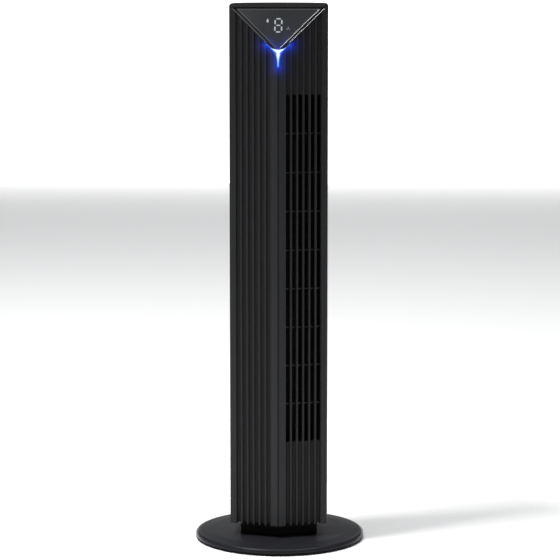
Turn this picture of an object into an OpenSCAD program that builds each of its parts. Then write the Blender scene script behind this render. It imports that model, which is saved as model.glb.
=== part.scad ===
// Free-standing tower fan. Z is up, the front faces -Y, and the origin is the centre
// of the base's underside, on the axis that the tower swings about.

/* [Overall] */
// Height of the whole fan
total_h = 965; // [800:5:1150]
// Diameter of the base disc
base_d = 305; // [270:1:380]
// Width of the tower
body_w = 173; // [168:1:210]
// Height of the tower's lower edge above the floor
body_z = 38; // [38:1:60]

/* [Tower plan] */
// Distance from the swing axis forward to the front ridge
front_reach = 85; // [82:1:110]
// Distance from the swing axis back to the rear of the tower
back_reach = 68; // [64:1:90]
// Slope of each half of the front, away from the ridge
wedge_angle = 17; // [12:0.5:18]
// Wall of the housing
wall = 2.5; // [1.8:0.1:3]
// Rounding of the upper edge
top_round = 5.5; // [3:0.5:6]

/* [Front panels] */
// Thickness of the fluted front panels
panel_t = 5.5; // [4.5:0.1:6.5]
// Width of the dark joint between the two front panels
seam_w = 1.6; // [0.8:0.1:2]
// Width of the plain bands at the front corners
band_w = 11; // [9:0.5:14]
// Flutes on each half
flute_count = 6; // [3:1:6]
// Distance from the ridge to the first flute
flute_first = 17.4; // [15:0.1:20]
// Distance between flutes
flute_pitch = 10.75; // [9.5:0.05:11]
// Width of a flute
flute_w = 8; // [6:0.1:9]
// Depth of a flute
flute_depth = 3; // [1:0.1:3.2]
// Height of the notch at the lower end of a flute
tooth_h = 4.2; // [2:0.1:8]
// Width of an outlet slot
slot_w = 6.8; // [4:0.1:7.2]
// Height of the lower end of the outlet
outlet_z = 190; // [185:1:230]
// Distance from the top of the outlet to the top of the fan
outlet_drop = 158; // [150:1:200]
// Cross bars behind the outlet
bar_count = 8; // [3:1:12]
// Height of a cross bar
bar_h = 1.8; // [1:0.1:4]

/* [Display] */
// Distance from the lowest point of the sloped face to the top of the fan
facet_drop = 89; // [70:1:100]
// Height of the cap above the sloped face
cap_h = 7; // [6.5:0.1:10]
// Half width of the sloped face at its top
facet_half_w = 84; // [80:0.5:84]
// Width of the rim around the sloped face
rim_w = 2.2; // [1:0.1:3]
// Width of the channel between the rim and the window
channel_w = 2.6; // [1:0.1:4]
// Thickness of the window
window_t = 2.6; // [1.5:0.1:3]
// Half span of the light pipe's two arms
light_half_span = 21; // [15:0.5:25]
// Half width of the light pipe's stem
light_stem = 1.4; // [0.8:0.1:2.5]
// Length of the stem below the sloped face's lowest point
light_drop = 21; // [10:0.5:40]
// Depth of the light pipe
light_t = 4; // [2:0.1:5]

/* [Base] */
// Thickness of the rubber feet below the base plate
foot_h = 1.5; // [1:0.1:4]
// Diameter of a foot
foot_d = 20; // [12:1:26]
// Number of feet
foot_count = 6; // [4:1:8]
// Height of the base disc's top at the neck
base_h = 16; // [15:0.5:22]
// Height of the joint between the base plate and its cover
base_joint_z = 5; // [4:0.1:6]
// Height of the top of the rounded rim
rim_z = 13; // [12:0.1:14]
// Radius of the rounded rim
rim_r = 6; // [3:0.1:6.5]
// Radius of the flat middle of the base cover
base_flat_r = 76; // [74:1:90]

/* [Swing] */
// Distance of the neck inside the tower's outline
neck_inset = 18; // [12:0.5:22]
// Radius of the fixed post
post_r = 12; // [10:0.5:14]
// Wall of the plain bush around the post
bush_wall = 3; // [2:0.5:5]
// Tooth size of the swing gears
gear_module = 1.5; // [1.5:0.1:1.6]
// Teeth of the fixed gear
ring_teeth = 40; // [38:1:42]
// Teeth of the pinion
pinion_teeth = 12; // [11:1:13]
// Play between the teeth
tooth_play = 0.3; // [0.2:0.05:0.5]
// Radius of the swing motor
swing_motor_r = 25; // [20:0.5:26]

/* [Impeller] */
// Outer radius of the cross-flow wheel
wheel_r = 46; // [40:0.5:48]
// Distance of the wheel's axis from the ridge, towards the plain half
wheel_x = -8; // [-12:0.5:-6]
// Distance of the wheel's axis behind the swing axis
wheel_y = 0; // [-4:0.5:4]
// Blades of the wheel
blade_count = 24; // [16:1:30]
// Segments of the wheel
wheel_segments = 8; // [4:1:10]
// Radial depth of a blade
blade_depth = 11; // [8:0.5:13]
// Gap between the wheel's end and the bulkheads
wheel_gap = 8; // [6:0.5:12]
// Radius of the motor shaft and the upper stub shaft
shaft_r = 4; // [3:0.5:5]
// Radius of the motor case
motor_r = 44; // [36:0.5:46]
// Height of the motor case
motor_h = 54; // [45:1:58]

/* [Controls] */
// Radius of a key
key_r = 7; // [5:0.5:8]
// Distance between keys
key_pitch = 24; // [22:1:26]
// Travel of a key
key_travel = 1; // [0.5:0.1:1.2]

/* [Handle and intake] */
// Width of the hand hold
hold_w = 96; // [85:1:105]
// Height of the hand hold's mouth
hold_h = 30; // [26:1:34]
// Depth of the hand hold
hold_depth = 38; // [32:1:42]
// Rows of intake slots
intake_rows = 6; // [3:1:8]
// Columns of intake slots
intake_columns = 13; // [7:2:15]
// Width of an intake slot
intake_w = 5; // [3:0.1:6]

/* [Fits] */
// Clearance around a shaft that turns in a bush
run_gap = 0.05; // [0.02:0.01:0.1]
// Clearance around a key
key_gap = 0.4; // [0.3:0.05:0.6]
// Gap between the neck and the base cover
neck_gap = 0.8; // [0.5:0.1:2]

/* [Hidden] */
$fn = 96;
e = 0.01;

// Tower outline
half_w = body_w / 2;
wedge_slope = tan(wedge_angle);
ridge_y = -front_reach;
back_y = back_reach - half_w;
band_x = half_w - band_w;
function front_y(x) = ridge_y + abs(x) * wedge_slope;
panel_y = panel_t / cos(wedge_angle);
fit_line = 0.3;
rail_t = 3;
lap_gap = 0.1;

// Heights of the display and the outlet
facet_z = total_h - facet_drop;
facet_top_z = total_h - cap_h;
facet_rise = facet_top_z - facet_z;
facet_tilt = atan(facet_half_w * wedge_slope / facet_rise);
facet_slant = facet_rise / cos(facet_tilt);
facet_m = facet_half_w / facet_slant;
window_inset = rim_w + channel_w;
tray_t = 2;
outlet_top = total_h - outlet_drop;
slot_pitch_z = (outlet_top - outlet_z) / (bar_count + 1);

// Bulkheads that close the air path
bulk_t = 4;
bulk_low_z = outlet_z - 10;
bulk_high_z = outlet_top + 6;
duct_low_z = bulk_low_z + bulk_t;
wheel_low_z = duct_low_z + wheel_gap;
wheel_high_z = bulk_high_z - wheel_gap;
segment_h = (wheel_high_z - wheel_low_z) / wheel_segments;

// Base stack
plate_low_z = foot_h;
foot_sink = 1;
flange_r = 24;
flange_t = 4;
gear_h = 7;
gear_z = base_h + flange_t;
washer_z = gear_z + gear_h;
washer_t = 2;
end_play = 0.05;
hub_z = washer_z + washer_t + end_play;
floor_z = body_z + 2;
floor_t = 3;
hub_top = floor_z + 12;
bush_r = post_r + run_gap;
hub_bore = bush_r + bush_wall;
hub_r = hub_bore + 5;
keeper_z = hub_top + end_play;
keeper_t = 1.5;
clip_t = 1.2;
post_top = keeper_z + keeper_t + clip_t + 3;
post_bore = post_r - 4;
ring_r = gear_module * ring_teeth / 2;
pinion_r = gear_module * pinion_teeth / 2;
gear_centres = ring_r + pinion_r;
pinion_shaft_r = 3;
swing_motor_x = gear_centres + 10;
swing_motor_h = 18;

// Motor below the lower bulkhead
bracket_t = 3;
mount_h = 5;
mount_r = 7;
mount_pcd_r = motor_r + 8;
bolt_r = 2.5;
motor_top = bulk_low_z - 14;
motor_low = motor_top - motor_h;
bracket_z = motor_top - 6;
mount_z = bracket_z + bracket_t;
hub_rubber_r = 14;

// Housing screws
well_x = half_w - 16.5;
well_r = 5;
well_z = [70, 330, 590, 852];
screw_r = 1.5;
screw_head_r = 3;
split_y = back_y + 2.5;
boss_l = 24;

// Keys under the cap
key_count = 5;
key_y = -18;
recess_z = total_h - 1.4;
key_plate_z = recess_z - 2.4;
key_top = total_h - 0.5;
key_flange_r = key_r + 1.6;
key_low = key_plate_z - 1.6;
switch_top = key_low - key_travel - 0.1;
switch_h = 3.4;
key_board_z = switch_top - switch_h - 1.6;

// Hand hold
hold_z = total_h - 118;
hold_lip = 10;
hold_wall = 2.5;

module plan(side = 0, nose = 0) {
    w = half_w - side;
    y0 = ridge_y + nose / cos(wedge_angle);
    polygon([[0, y0], [w, y0 + w * wedge_slope], [w, back_y], [-w, back_y],
             [-w, y0 + w * wedge_slope]]);
    translate([0, back_y]) intersection() {
        circle(r = w);
        translate([-w, 0]) square([2 * w, w]);
    }
}

module prism(z0, z1) {
    translate([0, 0, z0]) linear_extrude(z1 - z0) children();
}

module both_sides() {
    children();
    mirror([1, 0, 0]) children();
}

// Strip of the front wall between two distances from the ridge and two depths
module front_strip(x0, x1, t0, t1) {
    d0 = t0 / cos(wedge_angle);
    d1 = t1 / cos(wedge_angle);
    polygon([[x0, front_y(x0) + d0], [x1, front_y(x1) + d0],
             [x1, front_y(x1) + d1], [x0, front_y(x0) + d1]]);
}

// Local axes of the sloped face: X across, Z up the slope, Y into the tower
module on_facet() {
    translate([0, ridge_y, facet_z]) rotate([-facet_tilt, 0, 0]) children();
}

module before_facet(depth = 0) {
    on_facet() translate([-150, depth - 200, -60]) cube([300, 200, 260]);
}

module facet_triangle(inset) {
    run = inset * sqrt(1 + facet_m * facet_m);
    top = facet_slant + 6;
    polygon([[0, run / facet_m], [facet_m * top - run, top], [run - facet_m * top, top]]);
}

module facet_plate(y0, y1) {
    on_facet() translate([0, y1, 0]) rotate([90, 0, 0]) linear_extrude(y1 - y0) children();
}

// Outline of the light pipe from the front: three arcs between two arms and a stem
module light_outline(gap = 0, sides = true) {
    arm_z = facet_z + 17.5;
    stem_z = facet_z - light_drop;
    run = light_half_span - light_stem;
    rise = arm_z - stem_z - 5;
    side_r = (run * run + rise * rise) / (2 * run);
    crown = facet_z + 9;
    sag = arm_z + 2 - crown;
    top_r = (light_half_span * light_half_span + sag * sag) / (2 * sag);
    difference() {
        foot = sides ? light_stem + gap : light_half_span + gap;
        polygon([[-foot, stem_z], [foot, stem_z],
                 [light_half_span + gap, arm_z], [light_half_span + gap, arm_z + 2 + gap],
                 [-light_half_span - gap, arm_z + 2 + gap], [-light_half_span - gap, arm_z]]);
        translate([0, crown + top_r + gap]) circle(r = top_r);
        if (sides) for (side = [-1, 1])
            translate([side * (light_stem + side_r + gap), stem_z + 5]) circle(r = side_r);
    }
}

module light_prism(gap = 0, sides = true) {
    translate([0, ridge_y + 40, 0]) rotate([90, 0, 0]) linear_extrude(60)
        light_outline(gap, sides);
}

module base_cover() color("#2b2c30")
difference() {
    rotate_extrude() difference() {
        polygon(concat([[post_bore, base_joint_z], [base_d / 2, base_joint_z]],
            [for (a = [0 : 15 : 90]) [base_d / 2 - rim_r * (1 - cos(a)), rim_z - rim_r * (1 - sin(a))]],
            [[base_d / 2 - 30, (rim_z + base_h) / 2 + 0.4], [base_flat_r + 12, base_h - 0.3],
             [base_flat_r, base_h], [post_bore, base_h]]));
        polygon([[flange_r + 4, base_joint_z - e], [base_d / 2 - wall, base_joint_z - e],
                 [base_d / 2 - wall, rim_z - rim_r], [base_d / 2 - rim_r, rim_z - wall],
                 [base_d / 2 - 30, (rim_z + base_h) / 2 + 0.4 - wall],
                 [base_flat_r, base_h - wall], [flange_r + 4, base_h - wall]]);
    }
    post_screw_places() translate([0, 0, base_joint_z - e]) cylinder(r = 1.6, h = base_h);
}

module base_boss_places() {
    for (i = [0 : foot_count - 1]) rotate([0, 0, (i + 0.5) * 360 / foot_count])
        translate([base_d / 2 - 26, 0, 0]) children();
}

module foot_places() {
    for (i = [0 : foot_count - 1]) rotate([0, 0, i * 360 / foot_count])
        translate([base_d / 2 - 24, 0, 0]) children();
}

module post_screw_places() {
    for (i = [0 : 3]) rotate([0, 0, 45 + 90 * i]) translate([post_r + 6.5, 0, 0]) children();
}

module base_plate() color("#1c1c1e")
difference() {
    union() {
        translate([0, 0, plate_low_z])
            cylinder(r = base_d / 2 - 0.6, h = base_joint_z - 0.7 - plate_low_z);
        translate([0, 0, plate_low_z])
            cylinder(r = base_d / 2 - wall, h = base_joint_z - plate_low_z);
        base_boss_places() translate([0, 0, base_joint_z - e])
            cylinder(r = 3.6, h = rim_z - wall - base_joint_z - 0.4);
    }
    foot_places() translate([0, 0, -e]) cylinder(r = foot_d / 2, h = plate_low_z + foot_sink + e);
    base_boss_places() {
        translate([0, 0, plate_low_z - e]) cylinder(r = 1.5, h = 20);
        translate([0, 0, plate_low_z - e]) cylinder(r = 3.2, h = 1.5 + e);
    }
    translate([0, 0, plate_low_z - e]) cylinder(r = post_bore, h = 20);
}

module base_weight() color("#4a4a4a")
translate([0, 0, base_joint_z]) difference() {
    cylinder(r = base_d / 2 - 32, h = 6);
    translate([0, 0, -e]) cylinder(r = flange_r + 6, h = 7);
}

module rubber_feet() color("#151515")
foot_places() cylinder(r = foot_d / 2, h = plate_low_z + foot_sink);

module base_screws() color("#8a8a8a")
base_boss_places() {
    translate([0, 0, plate_low_z + 0.3]) cylinder(r = 3, h = 1.2);
    translate([0, 0, plate_low_z + 1.5 - e]) cylinder(r = 1.5, h = rim_z - wall - base_joint_z);
}

module swing_post() color("#b9bcc0")
difference() {
    union() {
        translate([0, 0, base_h]) cylinder(r = flange_r, h = flange_t);
        translate([0, 0, base_h]) cylinder(r = post_r, h = post_top - base_h);
    }
    translate([0, 0, base_h - e]) cylinder(r = post_bore, h = post_top);
    post_screw_places() translate([0, 0, base_h - e]) {
        cylinder(r = 1.6, h = flange_t + 1);
        translate([0, 0, flange_t - 2.4]) cylinder(r = 3, h = 3);
    }
    translate([0, 0, keeper_z + keeper_t]) difference() {
        cylinder(r = post_r + 1, h = clip_t);
        translate([0, 0, -1]) cylinder(r = post_r - 1, h = clip_t + 2);
    }
}

module post_screws() color("#8a8a8a")
post_screw_places() {
    translate([0, 0, base_h + flange_t - 2.4]) cylinder(r = 2.9, h = 2.2);
    translate([0, 0, base_h + flange_t - 2.4 - 10]) cylinder(r = 1.6, h = 10);
}

function involute(rb, a) = [rb * (cos(a) + a * PI / 180 * sin(a)),
                            rb * (sin(a) - a * PI / 180 * cos(a))];
function turned(p, a) = [p[0] * cos(a) - p[1] * sin(a), p[0] * sin(a) + p[1] * cos(a)];
function roll_angle(rb, r) = sqrt(max(0, r * r / (rb * rb) - 1)) * 180 / PI;
function flank_angle(rb, r) = roll_angle(rb, r) - acos(min(1, rb / r));

// Involute gear outline with 20 degree pressure angle, cut back by half the play
module gear_outline(teeth, m) {
    rp = m * teeth / 2;
    rb = rp * cos(20);
    ra = rp + 0.9 * m;
    rf = rp - 1.2 * m;
    r0 = max(rb, rf);
    half = 90 / teeth + flank_angle(rb, rp) - tooth_play / 2 / rp * 180 / PI;
    steps = 4;
    flank = [for (k = [0 : steps]) let (r = r0 + (ra - r0) * k / steps)
        turned([r, 0], flank_angle(rb, r) - half)];
    polygon([for (t = [0 : teeth - 1]) let (turn = t * 360 / teeth) each concat(
        [turned([rf, 0], turn - half)],
        [for (p = flank) turned(p, turn)],
        [for (k = [steps : -1 : 0]) turned([flank[k][0], -flank[k][1]], turn)],
        [turned([rf, 0], turn + half)])]);
}

module fixed_gear() color("#d8d4c4")
translate([0, 0, gear_z]) linear_extrude(gear_h) difference() {
    gear_outline(ring_teeth, gear_module);
    circle(r = post_r);
}

module thrust_washer() color("#e6e2d6")
translate([0, 0, washer_z]) difference() {
    cylinder(r = hub_r + 2, h = washer_t);
    translate([0, 0, -e]) cylinder(r = post_r, h = washer_t + 1);
}

module retaining_washer() color("#a8abb0")
translate([0, 0, keeper_z]) difference() {
    cylinder(r = hub_r - 1, h = keeper_t);
    translate([0, 0, -e]) cylinder(r = post_r, h = keeper_t + 1);
}

module post_circlip() color("#70757a")
translate([0, 0, keeper_z + keeper_t]) difference() {
    cylinder(r = post_r + 2.2, h = clip_t);
    translate([0, 0, -e]) cylinder(r = post_r - 1, h = clip_t + 1);
    translate([-1.5, 0, -e]) cube([3, post_r + 5, clip_t + 1]);
}

module tower_block(inset = 0) {
    difference() {
        prism(facet_z - light_drop - 10, facet_top_z) plan(inset, inset);
        before_facet(inset);
    }
}

module tower_ring() {
    difference() {
        plan();
        plan(wall, wall);
    }
}

module facet_pocket() {
    before_facet(0);
    difference() {
        facet_plate(-e, window_t + tray_t) facet_triangle(0);
        light_prism(0.1, false);
    }
}

module above_facet() {
    translate([-body_w, -200, facet_top_z]) cube([2 * body_w, 300, 20]);
}

module at_wells() {
    for (side = [-1, 1], z = well_z)
        translate([side * well_x, split_y, z]) rotate([-90, 0, 0]) children();
}

module tower_floor() color("#202124")
difference() {
    union() {
        prism(floor_z, floor_z + floor_t) plan(wall, panel_t);
        translate([0, 0, hub_z]) cylinder(r = hub_r, h = hub_top - hub_z);
    }
    translate([0, 0, hub_z - e]) cylinder(r = hub_bore, h = hub_top);
    translate([gear_centres, 0, floor_z - e]) cylinder(r = 8, h = floor_t + 1);
}

module swing_bush() color("#c8a45a")
translate([0, 0, hub_z]) difference() {
    cylinder(r = hub_bore, h = hub_top - hub_z);
    translate([0, 0, -e]) cylinder(r = bush_r, h = hub_top);
}

module neck_shroud() color("#0f0f11")
prism(base_h + neck_gap, floor_z) difference() {
    plan(neck_inset, neck_inset);
    plan(neck_inset + wall, neck_inset + wall);
}

module front_rail(z, h) {
    prism(z, z + h) both_sides()
        front_strip(0, half_w - 0.5, panel_t, panel_t + rail_t);
}

module front_frame() color("#2c2d2f")
difference() {
    union() {
        prism(body_z, facet_top_z) intersection() {
            tower_ring();
            both_sides() translate([band_x, -200]) square([band_w, 200 + split_y]);
        }
        front_rail(floor_z + 8, 14);
        front_rail(bulk_low_z - 28, 14);
        front_rail(bulk_high_z + bulk_t + 2, 14);
        for (side = [-1, 1], z = well_z) {
            translate([side * well_x, split_y - boss_l, z]) rotate([-90, 0, 0])
                cylinder(r = well_r, h = boss_l);
            translate([side * (well_x + half_w - 1) / 2, split_y - boss_l / 2, z])
                cube([half_w - 1 - well_x, boss_l, 3], center = true);
        }
    }
    facet_pocket();
    at_wells() translate([0, 0, -16]) cylinder(r = screw_r, h = 20);
}

// One half of the front: a plain strip with flutes and a toothed lower edge
module fluted_half() {
    groove_r = (flute_w * flute_w / 4 + flute_depth * flute_depth) / (2 * flute_depth);
    lift = groove_r - flute_depth;
    difference() {
        prism(body_z, facet_top_z) difference() {
            front_strip(seam_w / 2, band_x - fit_line, 0, panel_t);
            for (i = [0 : flute_count - 1]) let (x = flute_first + i * flute_pitch)
                translate([x + lift * sin(wedge_angle), front_y(x) - lift * cos(wedge_angle)])
                    circle(r = groove_r);
        }
        facet_pocket();
        light_prism(0.1);
        for (i = [0 : flute_count - 1]) at_flute(i) tooth_gap();
    }
}

// Notch with cut corners where a flute runs out at the panel's lower edge
module tooth_gap() {
    w = flute_w / 2 - 0.7;
    translate([0, 10, body_z]) rotate([90, 0, 0]) linear_extrude(20)
        polygon([[-w, -1], [w, -1], [w, tooth_h - 1.6], [w - 1.6, tooth_h],
                 [1.6 - w, tooth_h], [-w, tooth_h - 1.6]]);
}

module at_flute(i) {
    x = flute_first + i * flute_pitch;
    translate([x, front_y(x), 0]) rotate([0, 0, wedge_angle]) children();
}

// The plain half, with a tongue that closes the joint behind its face
module front_panel() color("#2e2f32") {
    mirror([1, 0, 0]) fluted_half();
    translate([-seam_w / 2 - 1, ridge_y + panel_t / 2, body_z])
        cube([seam_w + 1 - lap_gap, panel_t / 2 - 0.5, facet_z - light_drop - 1 - body_z]);
}

module outlet_grille() color("#2e2f32")
difference() {
    fluted_half();
    for (i = [0 : flute_count - 1]) at_flute(i) {
        translate([-slot_w / 2, -10, outlet_z + slot_w / 2])
            cube([slot_w, 20, outlet_top - outlet_z - slot_w]);
        for (z = [outlet_z + slot_w / 2, outlet_top - slot_w / 2])
            translate([0, -10, z]) rotate([-90, 0, 0]) cylinder(r = slot_w / 2, h = 20);
    }
}

module outlet_bars() color("#141416") {
    x0 = flute_first - flute_pitch / 2;
    x1 = flute_first + (flute_count - 0.5) * flute_pitch;
    for (k = [1 : bar_count])
        translate([0, 0, outlet_z + k * slot_pitch_z - bar_h / 2])
            linear_extrude(bar_h) front_strip(x0, x1, panel_t, panel_t + rail_t);
    for (x = [x0 - 1.5, x1])
        prism(duct_low_z, bulk_high_z) front_strip(x, x + 1.5, panel_t, panel_t + rail_t);
}

row_h = (outlet_top - outlet_z) / intake_rows;

// Plan of the tower behind its split line, or of its back alone
module rear_half(inset, behind = 0) {
    intersection() {
        plan(inset, inset);
        translate([-body_w, split_y + fit_line + behind]) square([2 * body_w, body_w]);
    }
}

module rear_cover() color("#242528")
difference() {
    union() {
        prism(body_z, facet_top_z) difference() {
            rear_half(0);
            plan(wall, wall);
        }
        intersection() {
            at_wells() cylinder(r = well_r, h = half_w);
            prism(body_z, facet_top_z) plan(0.5, 0.5);
        }
        for (row = [0 : intake_rows]) prism(outlet_z + row * row_h - 1, outlet_z + row * row_h + 1)
            difference() {
                rear_half(wall - 0.5);
                plan(wall + 1.5, wall + 1.5);
            }
    }
    for (row = [0 : intake_rows - 1])
        prism(outlet_z + row * row_h + 2, outlet_z + (row + 1) * row_h - 2) difference() {
            rear_half(-1, 44);
            plan(0.6, 0.6);
        }
    at_wells() {
        translate([0, 0, -e]) cylinder(r = screw_r + 0.2, h = half_w);
        translate([0, 0, 6]) cylinder(r = screw_head_r + 0.4, h = half_w);
    }
    for (row = [0 : intake_rows - 1], column = [0 : intake_columns - 1])
        translate([0, back_y, outlet_z + row * row_h + 4])
            rotate([0, 0, (column - (intake_columns - 1) / 2) * 84 / (intake_columns - 1)])
                translate([-intake_w / 2, half_w - 8, 0]) cube([intake_w, 16, row_h - 8]);
    translate([-hold_w / 2, 30, hold_z]) cube([hold_w, 60, hold_h]);
    at_gland() cylinder(r = gland_r, h = 20);
}

gland_r = 6;
gland_z = floor_z + 18;
gland_bore = 3.6;
module at_gland() {
    translate([0, back_reach - 10, gland_z]) rotate([-90, 0, 0]) children();
}

module cord_gland() color("#101010")
at_gland() difference() {
    union() {
        cylinder(r = gland_r, h = 10 + 2);
        translate([0, 0, 10]) cylinder(r = gland_r + 2.5, h = 2);
        translate([0, 0, 10 - wall - 2.5]) cylinder(r = gland_r + 1, h = 2);
    }
    translate([0, 0, -e]) cylinder(r = gland_bore, h = 20);
}

module housing_screws() color("#77797c")
at_wells() {
    translate([0, 0, 6]) cylinder(r = screw_head_r, h = 2.4);
    translate([0, 0, -14]) cylinder(r = screw_r, h = 14 + 6 + e);
}

module handle_cup() color("#18191b")
difference() {
    intersection() {
        prism(hold_z - hold_wall, hold_z + hold_h + hold_lip + hold_wall) plan(wall, wall);
        translate([-hold_w / 2 - hold_wall, back_reach - hold_depth - hold_wall, 0])
            cube([hold_w + 2 * hold_wall, 100, total_h]);
    }
    translate([-hold_w / 2, back_reach - hold_depth, hold_z])
        cube([hold_w, 100, hold_h + hold_lip]);
}

module key_places() {
    for (i = [0 : key_count - 1])
        translate([(i - (key_count - 1) / 2) * key_pitch, key_y, 0]) children();
}

module cap_profile() {
    polygon(concat([[0, facet_top_z], [half_w, facet_top_z]],
        [for (a = [0 : 15 : 90]) [half_w - top_round * (1 - cos(a)),
                                  total_h - top_round * (1 - sin(a))]], [[0, total_h]]));
}

module top_cover() color("#1d1e21")
difference() {
    union() {
        translate([0, back_y, 0]) rotate_extrude(angle = 180) cap_profile();
        intersection() {
            translate([0, back_y, 0]) rotate([90, 0, 0]) linear_extrude(front_reach) both_sides()
                cap_profile();
            prism(facet_top_z, total_h) plan();
        }
    }
    before_facet(-1.5);
    key_span = (key_count - 1) * key_pitch;
    translate([-key_span / 2, key_y, recess_z]) {
        for (x = [0, key_span]) translate([x, 0, 0]) cylinder(r = key_r + 4, h = 10);
        translate([0, -key_r - 4, 0]) cube([key_span, 2 * key_r + 8, 10]);
    }
    translate([-key_span / 2 - key_r - 8, key_y - key_r - 6, facet_top_z - e])
        cube([key_span + 2 * key_r + 16, 2 * key_r + 12, key_plate_z - facet_top_z + e]);
    key_places() translate([0, 0, facet_top_z]) cylinder(r = key_r + key_gap, h = 20);
}

module key(i) color("#3a3b3f")
translate([(i - (key_count - 1) / 2) * key_pitch, key_y, 0]) {
    translate([0, 0, key_low]) cylinder(r = key_r, h = key_top - key_low);
    translate([0, 0, key_low]) cylinder(r = key_flange_r, h = key_plate_z - 0.05 - key_low);
}
module key_1() key(0);
module key_2() key(1);
module key_3() key(2);
module key_4() key(3);
module key_5() key(4);

module key_board() color("#1f5a34") {
    span = (key_count - 1) * key_pitch + 2 * key_r + 24;
    translate([-span / 2, key_y - 12, key_board_z]) cube([span, 24, 1.6]);
    key_places() {
        translate([0, 0, key_board_z + 1.6]) cylinder(r = 3, h = switch_h - 1);
        translate([0, 0, key_board_z + 1.6]) cylinder(r = 1.7, h = switch_h);
    }
    for (side = [-1, 1]) translate([side * (span / 2 - 4), key_y, key_board_z])
        cylinder(r = 3, h = facet_top_z - key_board_z);
}

// A bulkhead fills the tower's inside, with a hole around the wheel's shaft
module bulkhead(z, hole_r) {
    difference() {
        prism(z, z + bulk_t) plan(wall, panel_t);
        translate([wheel_x, wheel_y, z - e]) cylinder(r = hole_r, h = bulk_t + 1);
    }
}

module mount_places() {
    for (i = [0 : 3]) rotate([0, 0, 45 + 90 * i]) translate([mount_pcd_r, 0, 0]) children();
}

module lower_bulkhead() color("#2a2b2e")
difference() {
    union() {
        bulkhead(bulk_low_z, hub_rubber_r + 6);
        translate([wheel_x, wheel_y, 0]) mount_places()
            translate([0, 0, mount_z + mount_h])
                cylinder(r = 5, h = bulk_low_z + e - mount_z - mount_h);
    }
    translate([wheel_x, wheel_y, 0]) mount_places() translate([0, 0, mount_z])
        cylinder(r = bolt_r, h = mount_h + 8);
}

seat_r = 12;
seat_h = 12;
module upper_bulkhead() color("#2a2b2e")
difference() {
    union() {
        bulkhead(bulk_high_z, seat_r);
        translate([wheel_x, wheel_y, bulk_high_z]) cylinder(r = seat_r + 4, h = seat_h + 3);
    }
    translate([wheel_x, wheel_y, bulk_high_z - e]) cylinder(r = seat_r, h = seat_h + 4);
}

module bush_seat() color("#111111")
translate([wheel_x, wheel_y, bulk_high_z + 1.5]) difference() {
    cylinder(r = seat_r, h = seat_h);
    translate([0, 0, -e]) cylinder(r = 7.5, h = seat_h + 1);
}

module upper_bush() color("#c58b3c")
translate([wheel_x, wheel_y, bulk_high_z + 1.5]) difference() {
    cylinder(r = 7.5, h = seat_h);
    translate([0, 0, -e]) cylinder(r = shaft_r + run_gap, h = seat_h + 1);
}

// Scroll: an opening spiral around the wheel, then a straight run to the outlet's edge
scroll_gap = 5;
scroll_growth = 0.2;
function scroll_point(a, out) = let (r = wheel_r + scroll_gap + scroll_growth * (60 - a) + out)
    [wheel_x + r * cos(a), wheel_y + r * sin(a)];
duct_back = (panel_t + rail_t) / cos(wedge_angle);

module scroll_wall() color("#222326") {
    x1 = band_x + 1;
    y1 = front_y(x1) + duct_back;
    turns = [60 : -7.5 : -30];
    prism(duct_low_z, bulk_high_z) polygon(concat(
        [for (a = turns) scroll_point(a, 0)], [[x1, y1], [x1 + 1.2, y1 + 1.6]],
        [for (k = [len([for (a = turns) a]) - 1 : -1 : 0]) scroll_point(60 - 7.5 * k, 2)]));
}

module vortex_tongue() color("#222326") {
    x0 = flute_first - flute_pitch / 2 - 1.5;
    y0 = front_y(x0) + duct_back;
    nose = [wheel_x - 2, wheel_y - wheel_r - 7.5];
    prism(duct_low_z, bulk_high_z) {
        polygon([[x0, y0], [x0 + 2.2, y0 + 0.7], nose + [1.2, 1.6], nose - [1.2, 1.6]]);
        translate(nose) circle(r = 2.8);
    }
}

lamp_w = 40;
lamp_low = 34;
lamp_h = 34;
lamp_depth = 6;
board_y = window_t + lamp_depth;
board_t = 1.6;
post_places = [[-26, 46], [26, 46], [-26, 70], [26, 70]];
receiver_h = 73;

module display_rim() color("#3a3b3e")
difference() {
    union() {
        difference() {
            facet_plate(0, window_t + tray_t) facet_triangle(0);
            facet_plate(-5, window_t) facet_triangle(rim_w);
        }
        for (p = post_places) on_facet() translate([p[0], window_t + e, p[1]])
            rotate([-90, 0, 0]) cylinder(r = 2.5, h = lamp_depth - e);
    }
    on_facet() {
        translate([-lamp_w / 2, window_t - 1, lamp_low]) cube([lamp_w, 10, lamp_h]);
        translate([0, window_t - 1, receiver_h]) rotate([-90, 0, 0]) cylinder(r = 3.5, h = 10);
    }
    light_prism(0.1, false);
    above_facet();
}

module display_window() color("#2f3034")
difference() {
    facet_plate(0, window_t) facet_triangle(window_inset);
    light_prism(0.1, false);
    above_facet();
}

module display_board() color("#174a2c")
on_facet() {
    translate([-32, board_y, lamp_low + 4]) cube([64, board_t, 42]);
    translate([-lamp_w / 2 + 0.3, window_t, lamp_low + 0.3])
        cube([lamp_w - 0.6, lamp_depth + e, lamp_h - 0.6]);
}

module remote_receiver() color("#2a1020")
on_facet() translate([0, window_t, receiver_h]) rotate([-90, 0, 0])
    cylinder(r = 3.2, h = lamp_depth);

module light_pipe() color("#bfe8ff")
difference() {
    intersection() {
        light_prism();
        tower_block();
    }
    tower_block(light_t);
}

lamp_half = 14;
lamp_y = front_y(lamp_half) + (panel_t + rail_t) / cos(wedge_angle);
module lamp_board() color("#174a2c") {
    low = bulk_high_z + bulk_t + 4;
    translate([-lamp_half, lamp_y, low]) cube([2 * lamp_half, 1.6, facet_z + 4 - low]);
    for (p = [[0, -12], [-6, -2], [6, -2]])
        translate([p[0] - 2.5, lamp_y - 3, facet_z + p[1] - 2.5]) cube([5, 3 + e, 5]);
}

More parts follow.
